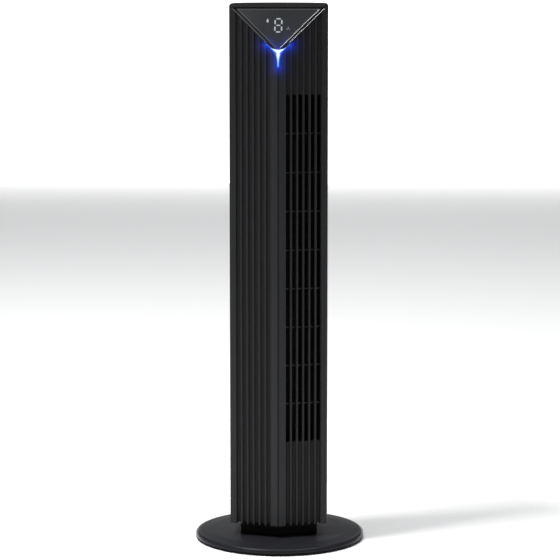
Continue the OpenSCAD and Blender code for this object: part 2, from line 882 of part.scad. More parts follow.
module main_board() color("#174a2c") {
    y = -44;
    translate([-64, y, floor_z + floor_t]) cube([60, 1.6, 56]);
    for (part = [[-60, 8, 18, 14, 16], [-36, 6, 12, 16, 20], [-20, 30, 12, 10, 14],
                 [-58, 34, 26, 6, 12]])
        translate([part[0], y + 1.6 - e, floor_z + floor_t + part[1]])
            cube([part[2], part[3], part[4]]);
}

module run_capacitor() color("#e8e8e4")
translate([-58, 22, floor_z + floor_t]) cube([38, 17, 28]);

module at_wheel(z = 0) {
    translate([wheel_x, wheel_y, z]) children();
}

case_wall = 2;
bearing_h = 8;
module motor_case() color("#a9adb2")
at_wheel(motor_low) difference() {
    cylinder(r = motor_r, h = motor_h);
    translate([0, 0, case_wall]) cylinder(r = motor_r - case_wall, h = motor_h - 2 * case_wall);
    translate([0, 0, -e]) cylinder(r = bearing_h, h = motor_h + 1);
}

stator_gap = 0.6;
rotor_r = 24;
core_z = motor_low + 12;
core_h = motor_h - 24;
module motor_stator() color("#8a4a22") {
    at_wheel(core_z) difference() {
        cylinder(r = motor_r - case_wall, h = core_h);
        translate([0, 0, -e]) cylinder(r = rotor_r + stator_gap, h = core_h + 1);
    }
    for (z = [motor_low, motor_low + motor_h - case_wall]) at_wheel(z) difference() {
        cylinder(r = bearing_h, h = case_wall);
        translate([0, 0, -e]) cylinder(r = shaft_r + run_gap, h = case_wall + 1);
    }
}

module motor_rotor() color("#6c6f73")
at_wheel(core_z) difference() {
    cylinder(r = rotor_r, h = core_h);
    translate([0, 0, -e]) cylinder(r = shaft_r, h = core_h + 1);
}

hub_rubber_h = 18;
module motor_shaft() color("#c9ccd0")
at_wheel(motor_low - 4)
    cylinder(r = shaft_r, h = wheel_low_z + hub_rubber_h - 8 - motor_low + 4);

module drive_hub() color("#161616")
at_wheel(wheel_low_z - 5) difference() {
    union() {
        cylinder(r = hub_rubber_r + 3, h = 5);
        cylinder(r = hub_rubber_r, h = hub_rubber_h);
    }
    translate([0, 0, -e]) cylinder(r = shaft_r, h = hub_rubber_h - 3 + e);
}

module motor_bracket() color("#9a9da1")
at_wheel(bracket_z) difference() {
    cylinder(r = motor_r + 17, h = bracket_t);
    translate([0, 0, -e]) cylinder(r = motor_r, h = bracket_t + 1);
    mount_places() translate([0, 0, -e]) cylinder(r = bolt_r, h = bracket_t + 1);
    for (turn = [0 : 90 : 270]) rotate([0, 0, turn]) translate([motor_r + 22, 0, -e])
        cylinder(r = 16, h = bracket_t + 1);
}

module motor_mounts() color("#141414")
at_wheel(mount_z) mount_places() difference() {
    cylinder(r = mount_r, h = mount_h);
    translate([0, 0, -e]) cylinder(r = bolt_r, h = mount_h + 1);
}

module motor_bolts() color("#8f9296")
at_wheel(bracket_z) mount_places() {
    translate([0, 0, -3.5]) cylinder(r = 4.5, h = 3.5);
    translate([0, 0, -e]) cylinder(r = bolt_r, h = bracket_t + mount_h + 8);
}

blade_t = 1.2;
disc_t = 2;
end_disc_t = 4;
blade_in = wheel_r - 0.5 - blade_depth;
function blade_point(k, side) = let (r = blade_in + blade_depth * k / 3,
    a = 16 * pow(k / 3, 1.5) + side * blade_t / 2 / r * 180 / PI) [r * cos(a), r * sin(a)];

module impeller_wheel() color("#3c3d40")
at_wheel() {
    for (i = [0 : blade_count - 1]) rotate([0, 0, i * 360 / blade_count])
        prism(wheel_low_z + 1, wheel_high_z - 1) polygon(concat(
            [for (k = [0 : 3]) blade_point(k, -1)], [for (k = [3 : -1 : 0]) blade_point(k, 1)]));
    for (k = [1 : wheel_segments - 1])
        translate([0, 0, wheel_low_z + k * segment_h - disc_t / 2]) difference() {
            cylinder(r = wheel_r, h = disc_t);
            translate([0, 0, -e]) cylinder(r = blade_in - 3, h = disc_t + 1);
        }
    translate([0, 0, wheel_low_z]) difference() {
        cylinder(r = wheel_r, h = end_disc_t);
        translate([0, 0, -e]) cylinder(r = hub_rubber_r, h = end_disc_t + 1);
    }
    translate([0, 0, wheel_high_z - end_disc_t]) difference() {
        union() {
            cylinder(r = wheel_r, h = end_disc_t);
            translate([0, 0, -6]) cylinder(r = 10, h = 7);
        }
        translate([0, 0, -7]) cylinder(r = shaft_r, h = end_disc_t + 8);
    }
}

module stub_shaft() color("#c9ccd0")
at_wheel(wheel_high_z - end_disc_t - 5)
    cylinder(r = shaft_r, h = bulk_high_z + seat_h + 4 - wheel_high_z + end_disc_t + 5);

module swing_motor() color("#b7babd")
translate([0, 0, floor_z + floor_t]) difference() {
    translate([swing_motor_x, 0, 0]) {
        cylinder(r = swing_motor_r, h = swing_motor_h);
        for (side = [-1, 1]) translate([-6, side * (swing_motor_r + 3) - 6, 0]) cube([12, 12, 2]);
    }
    translate([gear_centres, 0, -e])
        cylinder(r = pinion_shaft_r + run_gap, h = swing_motor_h - 4);
    swing_screw_places() translate([0, 0, -e]) cylinder(r = 1.6, h = 10);
}

module swing_screw_places() {
    for (side = [-1, 1])
        translate([swing_motor_x, side * (swing_motor_r + 5), 0]) children();
}

module swing_motor_screws() color("#7f8285")
translate([0, 0, floor_z + floor_t]) swing_screw_places() {
    translate([0, 0, 2]) cylinder(r = 3, h = 2);
    translate([0, 0, -0.0]) cylinder(r = 1.6, h = 2 + e);
}

pinion_z = gear_z + 0.4;
pinion_h = gear_h - 0.8;
mesh_turn = 180 + 180 / pinion_teeth;
module swing_pinion() color("#dcd8c8")
translate([gear_centres, 0, pinion_z]) difference() {
    union() {
        linear_extrude(pinion_h) rotate([0, 0, mesh_turn])
            gear_outline(pinion_teeth, gear_module);
        cylinder(r = 6, h = pinion_h + 5);
    }
    translate([0, 0, -e]) cylinder(r = pinion_shaft_r, h = pinion_h + 10);
}

module pinion_shaft() color("#c9ccd0")
translate([gear_centres, 0, pinion_z])
    cylinder(r = pinion_shaft_r, h = floor_z + floor_t + swing_motor_h - 6 - pinion_z);

base_cover();
base_plate();
base_weight();
rubber_feet();
base_screws();
swing_post();
post_screws();
fixed_gear();
thrust_washer();
retaining_washer();
post_circlip();
tower_floor();
swing_bush();
neck_shroud();
front_frame();
front_panel();
outlet_grille();
outlet_bars();
rear_cover();
housing_screws();
handle_cup();
cord_gland();
top_cover();
lower_bulkhead();
upper_bulkhead();
scroll_wall();
vortex_tongue();
display_rim();
display_window();
display_board();
light_pipe();
lamp_board();
remote_receiver();
key_board();
main_board();
run_capacitor();
motor_case();
motor_stator();
motor_bracket();
motor_mounts();
motor_bolts();
bush_seat();
upper_bush();
swing_motor();
swing_motor_screws();
impeller_wheel();
drive_hub();
motor_rotor();
motor_shaft();
stub_shaft();
swing_pinion();
pinion_shaft();
key_1();
key_2();
key_3();
key_4();
key_5();
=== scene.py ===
"""Tower fan: the looks of a free-standing tower fan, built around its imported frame."""
from math import atan, cos, pi, radians, sin, sqrt, tan

import bpy
import numpy as np
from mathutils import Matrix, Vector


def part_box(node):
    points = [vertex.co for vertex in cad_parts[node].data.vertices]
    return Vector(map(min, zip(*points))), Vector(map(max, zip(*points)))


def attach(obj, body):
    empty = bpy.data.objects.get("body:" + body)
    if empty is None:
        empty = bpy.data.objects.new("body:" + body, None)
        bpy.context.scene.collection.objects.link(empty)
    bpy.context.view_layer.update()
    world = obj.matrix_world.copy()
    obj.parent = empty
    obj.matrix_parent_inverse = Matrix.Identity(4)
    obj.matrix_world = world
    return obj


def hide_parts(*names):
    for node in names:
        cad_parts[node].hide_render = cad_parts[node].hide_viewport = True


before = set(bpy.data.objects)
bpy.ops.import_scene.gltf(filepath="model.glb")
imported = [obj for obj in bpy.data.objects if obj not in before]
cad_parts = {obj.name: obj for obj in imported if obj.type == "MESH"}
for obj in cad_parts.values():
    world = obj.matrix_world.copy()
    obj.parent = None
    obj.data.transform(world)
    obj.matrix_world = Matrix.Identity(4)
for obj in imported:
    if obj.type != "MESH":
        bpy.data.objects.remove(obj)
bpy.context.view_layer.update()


# ---- Camera -------------------------------------------------------------------------
# A long lens four metres in front of the fan, a little above its top, tilted down.
camera_data = bpy.data.cameras.new("camera")
camera_data.lens = 147.9
camera_data.sensor_width = 36
camera_data.clip_end = 400
camera = bpy.data.objects.new("camera", camera_data)
camera.location = (0.13, -4.094, 1.021)
camera.rotation_euler = (radians(90 - 7.655), 0, radians(1.809))
bpy.context.collection.objects.link(camera)
bpy.context.scene.camera = camera


# ---- Floor and light ----------------------------------------------------------------
# A pale floor up to a lit white wall, a dim even surround, a wide soft box overhead,
# and a smaller, stronger one high on the left that draws the lines on polished edges.
bpy.context.scene.view_settings.view_transform = "Standard"

floor_reach = 150
floor_mesh = bpy.data.meshes.new("floor")
floor_mesh.from_pydata([(-floor_reach, -floor_reach, 0), (floor_reach, -floor_reach, 0),
                        (floor_reach, floor_reach, 0), (-floor_reach, floor_reach, 0)],
                       [], [(0, 1, 2, 3)])
floor = bpy.data.objects.new("floor", floor_mesh)
bpy.context.collection.objects.link(floor)
floor_paint = bpy.data.materials.new("floor_paint")
floor_paint.use_nodes = True
floor_shader = floor_paint.node_tree.nodes["Principled BSDF"]
floor_shader.inputs["Base Color"].default_value = (0.93, 0.93, 0.93, 1)
floor_shader.inputs["Roughness"].default_value = 0.9
floor_shader.inputs["Specular IOR Level"].default_value = 0.1
floor_mesh.materials.append(floor_paint)

surround = bpy.data.worlds.new("surround")
surround.use_nodes = True
surround.node_tree.nodes["Background"].inputs["Color"].default_value = (0.93, 0.96, 1, 1)
surround.node_tree.nodes["Background"].inputs["Strength"].default_value = 0.14
bpy.context.scene.world = surround

wall_mesh = bpy.data.meshes.new("backdrop")
wall_mesh.from_pydata([(-30, 7, -1), (30, 7, -1), (30, 7, 1.1), (-30, 7, 1.1)], [],
                      [(0, 1, 2, 3)])
wall = bpy.data.objects.new("backdrop", wall_mesh)
bpy.context.collection.objects.link(wall)
wall_paint = bpy.data.materials.new("wall_paint")
wall_paint.use_nodes = True
wall_shader = wall_paint.node_tree.nodes["Principled BSDF"]
wall_shader.inputs["Emission Color"].default_value = (1, 1, 1, 1)
wall_shader.inputs["Emission Strength"].default_value = 1.05
wall_mesh.materials.append(wall_paint)


def soft_box(name, place, aim, size, power):
    """An area light at place whose face is turned towards aim."""
    data = bpy.data.lights.new(name, "AREA")
    data.shape = "SQUARE"
    data.size = size
    data.energy = power
    box = bpy.data.objects.new(name, data)
    box.location = place
    way = np.subtract(aim, place)
    flat = sqrt(way[0] ** 2 + way[1] ** 2)
    box.rotation_euler = (pi / 2 + atan(way[2] / flat), 0, np.arctan2(way[1], way[0]) - pi / 2)
    bpy.context.collection.objects.link(box)
    return box


soft_box("overhead", (0, -0.01, 6), (0, 0, 0), 7, 360)
soft_box("key", (-1.75, -0.9, 4.1), (0, 0, 0.9), 0.9, 170)


# ---- Housing mouldings --------------------------------------------------------------
# The two fluted front halves, the frame with the corner bands and the back are injection
# mouldings in satin black, screwed together from the back. Around the lamp the front halves
# carry painted light: a blue emission that stands in for the lamp's light falling on them.
class Wire:
    """A value that a shader works out. The operators add Math nodes to its tree."""

    def __init__(self, tree, socket):
        self.tree, self.socket = tree, socket

    def math(self, operation, *values):
        return Shader.node_in(self.tree, "Math", {"operation": operation}, *values)

    def __add__(self, other):
        return self.math("ADD", self, other)

    def __sub__(self, other):
        return self.math("SUBTRACT", self, other)

    def __mul__(self, other):
        return self.math("MULTIPLY", self, other)

    def __truediv__(self, other):
        return self.math("DIVIDE", self, other)

    def __rsub__(self, other):
        return self.math("SUBTRACT", other, self)

    def __pow__(self, other):
        return self.math("POWER", self, other)

    def __rpow__(self, other):
        return self.math("POWER", other, self)

    __radd__ = __add__
    __rmul__ = __mul__

    def clamp(self, low, high):
        return self.math("MINIMUM", self.math("MAXIMUM", self, low), high)


class Shader:
    """A material whose nodes come from one method, with Object coordinates in metres."""

    def __init__(self, name, colour, roughness, **fixed):
        self.material = bpy.data.materials.new(name)
        self.material.use_nodes = True
        self.tree = self.material.node_tree
        self.surface = self.tree.nodes["Principled BSDF"]
        self.set("Base Color", (*colour, 1))
        self.set("Roughness", roughness)
        for socket, value in fixed.items():
            self.set(socket.replace("_", " "), value)
        self.place = self.node("TexCoord", {}, output="Object")

    @staticmethod
    def node_in(tree, kind, settings, *values, output=0, **named):
        """Adds a node: its settings first, then the values or links of its sockets."""
        made = tree.nodes.new("ShaderNode" + kind)
        for key, value in settings.items():
            if key == "stops":
                while len(made.color_ramp.elements) < len(value):
                    made.color_ramp.elements.new(0.5)
                for stop, (at, colour) in zip(made.color_ramp.elements, value):
                    stop.position, stop.color = at, (*colour, 1)
            else:
                setattr(made, key, value)
        pairs = list(zip(made.inputs, values))
        pairs += [(made.inputs[key.replace("_", " ")], v) for key, v in named.items()]
        for socket, value in pairs:
            if isinstance(value, Wire):
                tree.links.new(value.socket, socket)
            else:
                socket.default_value = value
        return Wire(tree, made.outputs[output])

    def node(self, kind, settings, *values, **named):
        return self.node_in(self.tree, kind, settings, *values, **named)

    def set(self, socket, value):
        if isinstance(value, Wire):
            self.tree.links.new(value.socket, self.surface.inputs[socket])
        else:
            self.surface.inputs[socket].default_value = value

    def noise(self, scale, detail=2.0, stretch=(1, 1, 1)):
        """Noise on Object coordinates, with scale in features per metre."""
        at = self.node("Mapping", {}, self.place, Scale=stretch)
        return self.node("TexNoise", {}, Vector=at, Scale=scale, Detail=detail)

    def blend(self, factor, a, b):
        """Mixes two colours."""
        mix = self.tree.nodes.new("ShaderNodeMix")
        mix.data_type = "RGBA"
        for socket, value in zip((mix.inputs[0], mix.inputs[6], mix.inputs[7]), (factor, a, b)):
            if isinstance(value, Wire):
                self.tree.links.new(value.socket, socket)
            else:
                socket.default_value = (*value, 1) if isinstance(value, tuple) else value
        return Wire(self.tree, mix.outputs[2])

    def bump(self, height, strength, distance):
        """Turns a height from 0 to 1 into relief of the given depth in metres."""
        self.set("Normal", self.node("Bump", {}, Strength=strength, Distance=distance,
                                     Height=height))

    def axes(self):
        split = self.tree.nodes.new("ShaderNodeSeparateXYZ")
        self.tree.links.new(self.place.socket, split.inputs[0])
        return [Wire(self.tree, out) for out in split.outputs]


def dress(node, shader):
    """Gives a carried-over part its material."""
    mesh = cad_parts[node].data
    mesh.materials.clear()
    mesh.materials.append(shader.material)


pipe_low, pipe_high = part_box("light_pipe")
lamp_foot_z = pipe_low[2]
stem_drop = 0.021
lamp_tip_z = lamp_foot_z + stem_drop
arm_span = pipe_high[0]


def lamp_distance(shader):
    """Distance in metres, seen from the front, to the lamp's stem or to its nearer arm."""
    x, _, z = shader.axes()
    side = x.math("ABSOLUTE", x)
    drop = z - z.clamp(lamp_foot_z, lamp_tip_z)
    stem = (side * side + drop * drop) ** 0.5
    rise = z - (lamp_tip_z + 0.006)
    run = 0.89 * side + 0.45 * rise
    run = run.clamp(0.0, arm_span / 0.89)
    off_x, off_z = side - 0.89 * run, rise - 0.45 * run
    arm = (off_x * off_x + off_z * off_z) ** 0.5
    return stem.math("MINIMUM", stem, arm)


natural_base = 2.718281828


def satin_black(name, colour, roughness, lamp_glow_paint=0.0):
    """Spark-eroded black plastic: fine pits, faint flow clouds, and thin rubbed marks. With a
    glow strength it also gets painted light: a blue emission fading away from the lamp.
    """
    shader = Shader(name, colour, roughness, Specular_IOR_Level=0.3)
    cloud = shader.noise(9, 3, (1, 1, 0.35))
    pits = shader.noise(2600, 2)
    rub = shader.noise(60, 4, (6, 6, 0.35))
    light = tuple(c * 1.28 for c in colour)
    shader.set("Base Color", shader.blend(cloud.clamp(0.25, 0.75), colour, light))
    shader.set("Roughness", roughness - 0.09 + 0.1 * cloud + 0.07 * rub)
    shader.bump(pits, 0.16, 0.00012)
    # Painted light: the lamp's blue glow on the plastic, an emission that fades with distance
    # from the light pipe.
    if lamp_glow_paint:
        lamp_glow_falloff = natural_base ** (lamp_distance(shader) * (-1 / 0.0052))
        shader.set("Emission Color", shader.blend(lamp_glow_falloff, (0, 0, 0), (0.0, 0.045, 0.9)))
        shader.set("Emission Strength", lamp_glow_paint)
    return shader


housing_black = satin_black("housing_black", (0.0095, 0.0097, 0.0105), 0.38)
front_black = satin_black("front_black", (0.0088, 0.0090, 0.0100), 0.36, lamp_glow_paint=0.8)
for part in ("front_frame", "rear_cover"):
    dress(part, housing_black)

# Along each half, 0 is the middle of a flute and 0.5 the crest between two. The flutes are
# painted darker and the crests paler, as painted shade in the grooves; the crests are also
# smoother.
flute_first, flute_pitch = 0.0174, 0.01075
across, _, _ = front_black.axes()
turns = (across.math("ABSOLUTE", across) - flute_first) * (1 / flute_pitch)
turns = turns.clamp(-0.5, 5.5) + 0.5
crest = turns.math("ABSOLUTE", turns.math("FRACT", turns) - 0.5)
joint = ((across.math("ABSOLUTE", across) - 0.0008) * 4000).clamp(0, 1)
painted_crest_light = ((crest - 0.3) * 9.0).clamp(0, 1) * joint
crest_patchiness = front_black.noise(35, 3, (1, 1, 0.15))
# Painted shade: dark in the flutes and at the middle seam, paler on the crests, with noise
# making it patchy.
front_black.set("Base Color", front_black.blend(painted_crest_light * (0.75 + 0.3 * crest_patchiness),
                                                (0.0040, 0.0041, 0.0048),
                                                (0.0135, 0.0138, 0.0155)))
front_black.set("Roughness", 0.56 - 0.2 * painted_crest_light + 0.08 * crest_patchiness)
for part in ("front_panel", "outlet_grille"):
    dress(part, front_black)


# ---- Cap and keys -------------------------------------------------------------------
# The cap is one moulding with a rounded edge; five round push keys stand in a shallow
# tray in it. Each key has a flat top with a printed mark made of a few strokes.
for part in ("top_cover", "handle_cup"):
    dress(part, housing_black)

key_black = satin_black("key_black", (0.028, 0.029, 0.032), 0.42)
mark_white = Shader("mark_white", (0.72, 0.73, 0.75), 0.5)
mark_white.set("Base Color", mark_white.blend(mark_white.noise(900), (0.6, 0.61, 0.63),
                                              (0.78, 0.79, 0.8)))
keys = ["key_%d" % number for number in range(1, 6)]
for key in keys:
    dress(key, key_black)


def skin(name, rings, shader, body, caps=True, smooth=True):
    """A surface through rings of points, rings[i, j], closed along j. Its first and last
    rings are filled when caps is true, and the first and last ring join when it is not."""
    count, around = rings.shape[:2]
    i, j = np.meshgrid(np.arange(count - 1 if caps else count), np.arange(around),
                       indexing="ij")
    next_i, next_j = (i + 1) % count, (j + 1) % around
    quads = np.stack([i * around + j, next_i * around + j, next_i * around + next_j,
                      i * around + next_j], axis=-1).reshape(-1, 4)
    faces = quads.tolist()
    if caps:
        faces.append(list(range(around)))
        faces.append(list(range(count * around - 1, (count - 1) * around - 1, -1)))
    mesh = bpy.data.meshes.new(name)
    mesh.from_pydata(rings.reshape(-1, 3).tolist(), [], faces)
    corners = rings.reshape(-1, 3)[quads]
    normal = np.cross(corners[:, 2] - corners[:, 0], corners[:, 3] - corners[:, 1])
    out = corners.mean(axis=1) - rings.reshape(-1, 3).mean(axis=0)
    if np.sum(normal * out) < 0:
        mesh.flip_normals()
    if smooth:
        mesh.polygons.foreach_set("use_smooth", np.ones(len(mesh.polygons), bool))
        mesh.set_sharp_from_angle(angle=radians(40))
    mesh.materials.append(shader.material)
    piece = bpy.data.objects.new(name, mesh)
    bpy.context.collection.objects.link(piece)
    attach(piece, body)
    return piece


def rounded(points, radii, steps=8):
    """A closed outline through straight edges whose corners are arcs: each corner's arc
    has its centre on the bisector, at radius / sin(half angle) from the corner."""
    points = np.asarray(points, float)
    radii = np.broadcast_to(radii, len(points))
    arcs = []
    for before, corner, after, radius in zip(np.roll(points, 1, 0), points,
                                             np.roll(points, -1, 0), radii):
        a = (before - corner) / np.linalg.norm(before - corner)
        b = (after - corner) / np.linalg.norm(after - corner)
        bisector = (a + b) / np.linalg.norm(a + b)
        half = np.arccos(np.clip(a @ bisector, -1, 1))
        centre = corner + bisector * radius / np.sin(half)
        first = corner + a * radius / np.tan(half) - centre
        last = corner + b * radius / np.tan(half) - centre
        share = np.linspace(0, 1, steps)[:, None]
        way = first * (1 - share) + last * share
        way = way / np.linalg.norm(way, axis=1, keepdims=True)
        arcs.append(centre + radius * way)
    return np.vstack(arcs)


def oval(width, height, steps=24):
    """An ellipse's outline: half width times cosine, half height times sine."""
    turn = np.linspace(0, 2 * pi, steps, endpoint=False)
    return np.stack([width / 2 * np.cos(turn), height / 2 * np.sin(turn)], axis=1)


def pad(outline, centre, depth, crown, place, name, shader, body):
    """A small raised pad. Its rings are the outline shrunk towards its centre while the
    height climbs from minus depth to crown; place turns (across, up, out) into space."""
    shrink = np.array([1, 1, 0.97, 0.9, 0.6, 0.2])
    height = np.array([-depth, 0, 0.55 * crown, 0.85 * crown, crown, crown])
    flat = (outline[None] * shrink[:, None, None]) + np.asarray(centre)
    rings = np.dstack([flat, np.broadcast_to(height[:, None], flat.shape[:2])])
    return skin(name, place(rings), shader, body)


def stroke(points, width, steps=6):
    """The outline of a line of some width, with round ends, carried along its points."""
    points = np.asarray(points, float)
    way = np.gradient(points, axis=0)
    way /= np.linalg.norm(way, axis=1, keepdims=True)
    side = np.stack([-way[:, 1], way[:, 0]], axis=1) * width / 2
    turn = np.linspace(0, pi, steps + 2)[1:-1, None]
    ahead = points[-1] + side[-1] * np.cos(turn) + way[-1] * width / 2 * np.sin(turn)
    behind = points[0] - side[0] * np.cos(turn) - way[0] * width / 2 * np.sin(turn)
    return np.vstack([points + side, ahead, (points - side)[::-1], behind])


def key_arc(radius, start, end, steps=20):
    """Points on a circle between two angles in degrees."""
    turn = np.radians(np.linspace(start, end, steps))
    return radius * np.stack([np.cos(turn), np.sin(turn)], axis=1)


# Each mark is a few strokes, in metres about the key's centre.
key_marks = [
    [key_arc(0.0028, 125, 415), [(0, 0.0012), (0, 0.0036)]],
    [[(x, -0.0022), (x, -0.0022 + 0.0011 * (i + 1.6))] for i, x in
     enumerate((-0.0024, 0, 0.0024))],
    [key_arc(0.0032, 30, 150), [(-0.0030, 0.0020), (-0.0022, -0.0008)],
     [(0.0030, 0.0020), (0.0022, -0.0008)]],
    [[(-0.003, 0.0012), (-0.0015, 0.0022), (0, 0.0012), (0.0015, 0.0002), (0.003, 0.0012)],
     [(-0.003, -0.0014), (-0.0015, -0.0004), (0, -0.0014), (0.0015, -0.0024),
      (0.003, -0.0014)]],
    [key_arc(0.0031, 0, 340), [(0, 0.0016), (0, 0), (0.0013, -0.0006)]],
]
for number, (key, marks) in enumerate(zip(keys, key_marks), 1):
    low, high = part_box(key)
    middle = [(low[axis] + high[axis]) / 2 for axis in (0, 1)]
    mark_t = 0.00012
    for part, points in enumerate(marks, 1):
        line = stroke(points, 0.00055)
        rings = np.stack([np.column_stack([line + middle, np.full(len(line), z)])
                          for z in (high[2] - mark_t, high[2] + mark_t)])
        skin("mark_%d_%d" % (number, part), rings, mark_white, "button_%d" % number,
             smooth=False)


# ---- Display ------------------------------------------------------------------------
# A sloped triangular face: a dark tray with polished half-round beads along its two
# channels, and a smoked acrylic window with a bevel along its upper edge, cemented in.
facet_rise, facet_half_w = 0.082, 0.084
facet_tip = (0.0, -0.085, lamp_tip_z)
wedge_angle = radians(17)
facet_tilt = atan(facet_half_w * tan(wedge_angle) / facet_rise)
facet_slant = facet_rise / cos(facet_tilt)
facet_spread = facet_half_w / facet_slant
facet_lean = sqrt(1 + facet_spread ** 2)
rim_w, channel_w = 0.0022, 0.0026


def on_facet(points):
    """Turns (across, up, out) into space: the tip, plus across times X, plus up times
    (0, sin, cos) of the tilt, plus out times (0, -cos, sin) of the tilt."""
    across, up, out = np.moveaxis(np.asarray(points, float), -1, 0)
    return np.stack([facet_tip[0] + across,
                     facet_tip[1] + up * sin(facet_tilt) - out * cos(facet_tilt),
                     facet_tip[2] + up * cos(facet_tilt) + out * sin(facet_tilt)], axis=-1)


def facet_outline(inset, drop, tip_radius, corner_radius):
    """The triangle moved inwards: its two sides by inset and its upper edge by drop."""
    top = facet_slant - drop
    half = facet_spread * top - inset * facet_lean
    return rounded([(0, inset * facet_lean / facet_spread), (half, top), (-half, top)],
                   [tip_radius, corner_radius, corner_radius], 14)


tray_black = Shader("tray_black", (0.006, 0.006, 0.007), 0.5, Specular_IOR_Level=0.3)
tray_black.set("Roughness", 0.45 + 0.2 * tray_black.noise(400))
dress("display_rim", tray_black)

smoked = Shader("smoked_window", (0.021, 0.022, 0.024), 0.27, Coat_Roughness=0.12)
haze = smoked.noise(14, 4)
smoked.set("Base Color", smoked.blend(haze, (0.019, 0.020, 0.022), (0.026, 0.027, 0.030)))
smoked.set("Roughness", 0.22 + 0.1 * haze + 0.04 * smoked.noise(900))
smoked.set("Coat Weight", 0.25 + 0.1 * haze)
# Painted light: the lamp's blue glow on the window, an emission that fades with distance from
# the light pipe.
window_glow_paint = natural_base ** (lamp_distance(smoked) * (-1 / 0.0050))
smoked.set("Emission Color", smoked.blend(window_glow_paint, (0, 0, 0), (0.0, 0.045, 0.9)))
smoked.set("Emission Strength", 0.75)

# Each ring: inset of the sides, drop of the top, height, radius of the tip and corners.
window_edge = rim_w + channel_w
window_rings = [(0, 0.0004, -0.0024, 0.008, 0.0015), (0, 0.0004, -0.0012, 0.008, 0.0015),
                (0.0003, 0.0010, -0.0009, 0.0077, 0.0013),
                (0.0009, 0.0034, -0.0001, 0.0071, 0.0010),
                (0.0012, 0.0037, 0, 0.0068, 0.0009)]
rings = np.stack([on_facet(np.column_stack([
    facet_outline(window_edge + inset, drop, tip, corner), np.full(42, out)]))
    for inset, drop, out, tip, corner in window_rings])
window = skin("window", rings, smoked, "tower")
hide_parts("display_window")

polished = Shader("polished_bead", (0.035, 0.036, 0.039), 0.12, Coat_Weight=0.6)
polished.set("Roughness", 0.1 + 0.08 * polished.noise(120, 3))


def bead(name, path, radius, proud, around=14):
    """A half-sunk round bead: circles of the given radius square to a path on the facet,
    with centres (radius - proud) below it."""
    path = np.asarray(path, float)
    way = np.gradient(path, axis=0)
    way /= np.linalg.norm(way, axis=1, keepdims=True)
    side = np.stack([-way[:, 1], way[:, 0]], axis=1)
    turn = np.linspace(0, 2 * pi, around, endpoint=False)
    flat = path[:, None] + side[:, None] * (radius * np.cos(turn))[None, :, None]
    out = np.broadcast_to(proud - radius + radius * np.sin(turn), flat.shape[:2])
    return skin(name, on_facet(np.dstack([flat, out])), polished, "tower")


def side_path(across, inset, start, end):
    """Points on one side line of the facet, from start to end metres off its middle."""
    x = np.linspace(start, end, 12)
    return np.stack([across * x, (x + inset * facet_lean) / facet_spread], axis=1)


bead_r, bead_proud = 0.00105, 0.00045
for across, name in ((-1, "left"), (1, "right")):
    corner = facet_spread * (facet_slant - 0.0016) - bead_r * facet_lean
    outer = side_path(across, bead_r, 0.0205, corner)
    bend = np.linspace(0, radians(118), 10)[1:, None]
    ahead = (outer[-1] - outer[-2]) / np.linalg.norm(outer[-1] - outer[-2])
    inward = np.array([-ahead[1] * across, ahead[0] * across])
    curl = outer[-1] + 0.0022 * (ahead * np.sin(bend) + inward * (1 - np.cos(bend)))
    bead("rim_bead_" + name, np.vstack([outer, curl]), bead_r, bead_proud)
    inset = window_edge + 0.0013
    inner = side_path(across, inset, 0.0045, facet_spread * (facet_slant - 0.0042)
                      - inset * facet_lean)
    bead("window_bead_" + name, inner, bead_r, bead_proud)

# The digit and the two signs are lit from behind through thin spots in the window.
digit_white = Shader("digit_white", (0.06, 0.065, 0.07), 0.4)
digit_white.set("Emission Color", digit_white.blend(digit_white.noise(500), (0.66, 0.78, 0.9),
                                                    (0.82, 0.92, 1)))
digit_white.set("Emission Strength", 0.45)
sign_grey = Shader("sign_grey", (0.05, 0.055, 0.06), 0.4)
sign_grey.set("Emission Color", sign_grey.blend(sign_grey.noise(500), (0.5, 0.55, 0.62),
                                                (0.62, 0.68, 0.75)))
sign_grey.set("Emission Strength", 0.16)


def bar(width, height, cut):
    """The outline of a bar with cut corners."""
    x, y = width / 2, height / 2
    return np.array([(x, -y + cut), (x, y - cut), (x - cut, y), (cut - x, y),
                     (-x, y - cut), (-x, cut - y), (cut - x, -y), (x - cut, -y)])


digit_at = np.array([0.0, 0.0533])
segments = [(0, 0.0118, 0.0078, 0.0026), (0, 0, 0.0074, 0.0022), (0, -0.0118, 0.0078, 0.0026)]
segments += [(x, y, 0.0027, 0.0078) for x in (-0.0058, 0.0058) for y in (-0.0059, 0.0059)]
for number, (x, y, width, height) in enumerate(segments, 1):
    pad(bar(width, height, 0.0009), digit_at + (x + 0.03 * y, y), 0.0002, 0.0001, on_facet,
        "segment_%d" % number, digit_white, "tower")

turn = np.linspace(0, 2 * pi, 28, endpoint=False)
drop = np.stack([0.0019 * np.sin(turn) * (1 - 0.55 * np.cos(turn)),
                 0.0034 * np.cos(turn)], axis=1)[::-1]
pad(drop, digit_at + (-0.0187, 0.0086), 0.0002, 0.0001, on_facet, "drop_sign", digit_white,
    "tower")
for number in range(3):
    angle = radians(90 + 120 * number)
    along = np.array([cos(angle), sin(angle)])
    blade = oval(0.0036, 0.0019)
    blade = blade @ np.array([along, (-along[1], along[0])]) + along * 0.0019
    pad(blade, digit_at + (0.0172, -0.0058), 0.0002, 0.0001, on_facet,
        "blade_sign_%d" % (number + 1), sign_grey, "tower")


